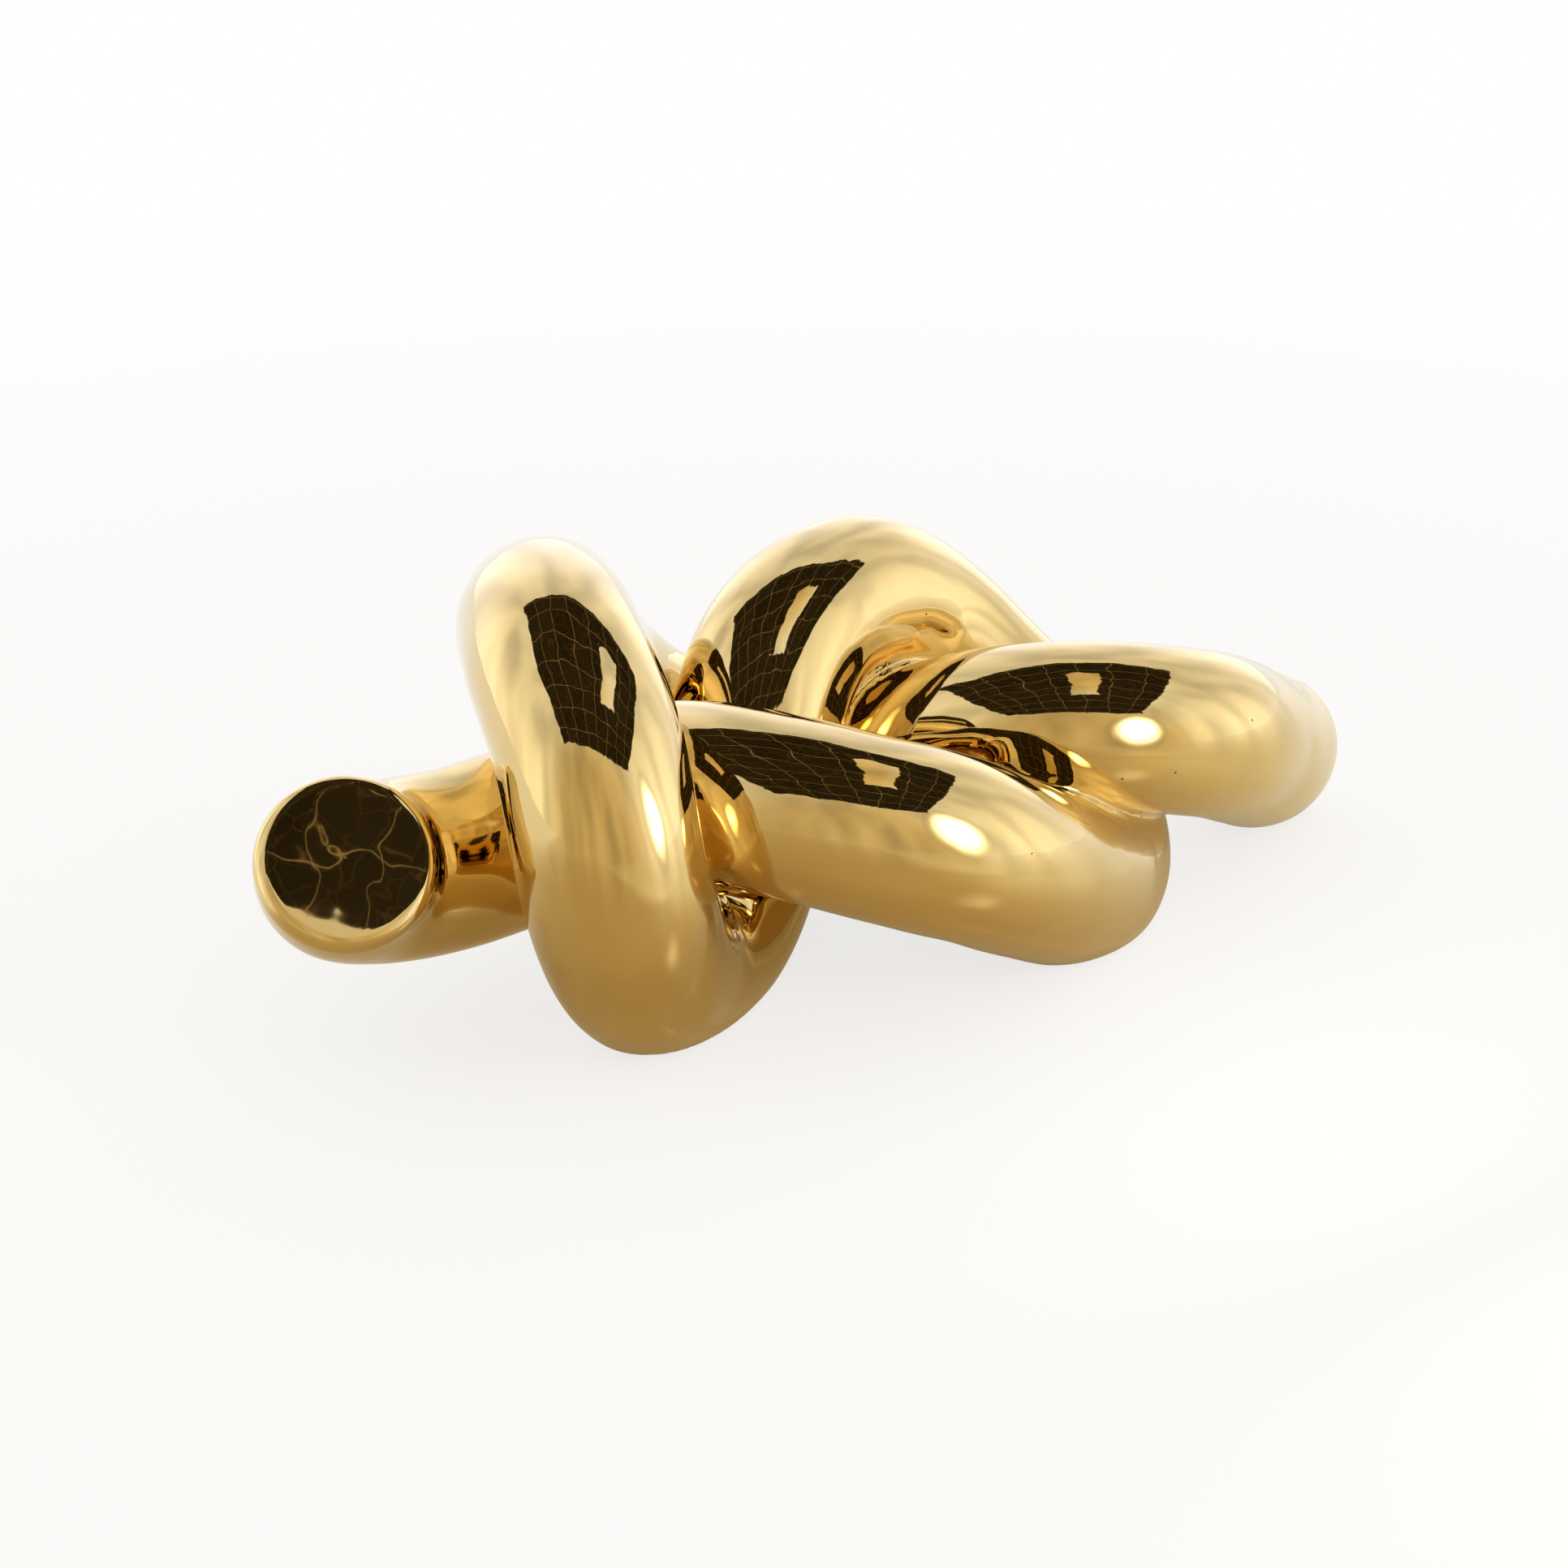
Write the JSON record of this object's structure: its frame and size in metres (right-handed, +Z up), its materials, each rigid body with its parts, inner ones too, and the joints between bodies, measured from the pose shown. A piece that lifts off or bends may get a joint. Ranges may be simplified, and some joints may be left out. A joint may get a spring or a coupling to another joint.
{
  "type": "ceramic knot sculpture",
  "caption": "Free-standing ornament: one thick round ceramic strand tied in a loose figure-eight knot, hollow cast, gold lustred all over and ground flat underneath.",
  "frame": {"origin": "on the table under the middle of the sculpture's outline", "axes": "+X to the viewer's right along the sculpture's length, +Y away from the viewer, +Z up from the table"},
  "size_m": [0.449, 0.2988, 0.1792],
  "materials": {
    "gold_lustre": "polished gold lustre fired over a glazed ceramic body",
    "felt": "pressed wool felt"
  },
  "bodies": {
    "root": {"left_end_disc": "gold_lustre", "left_disc_seam": "gold_lustre", "left_tail": "gold_lustre", "tail_to_front_seam": "gold_lustre", "front_strand": "gold_lustre", "front_to_arch_seam": "gold_lustre", "back_arch": "gold_lustre", "arch_to_loop_seam": "gold_lustre", "left_loop": "gold_lustre", "loop_to_tail_seam": "gold_lustre", "right_tail": "gold_lustre", "right_disc_seam": "gold_lustre", "right_end_disc": "gold_lustre", "front_felt_pad": "felt", "loop_felt_pad": "felt", "tail_felt_pad": "felt"}
  },
  "joints": []
}
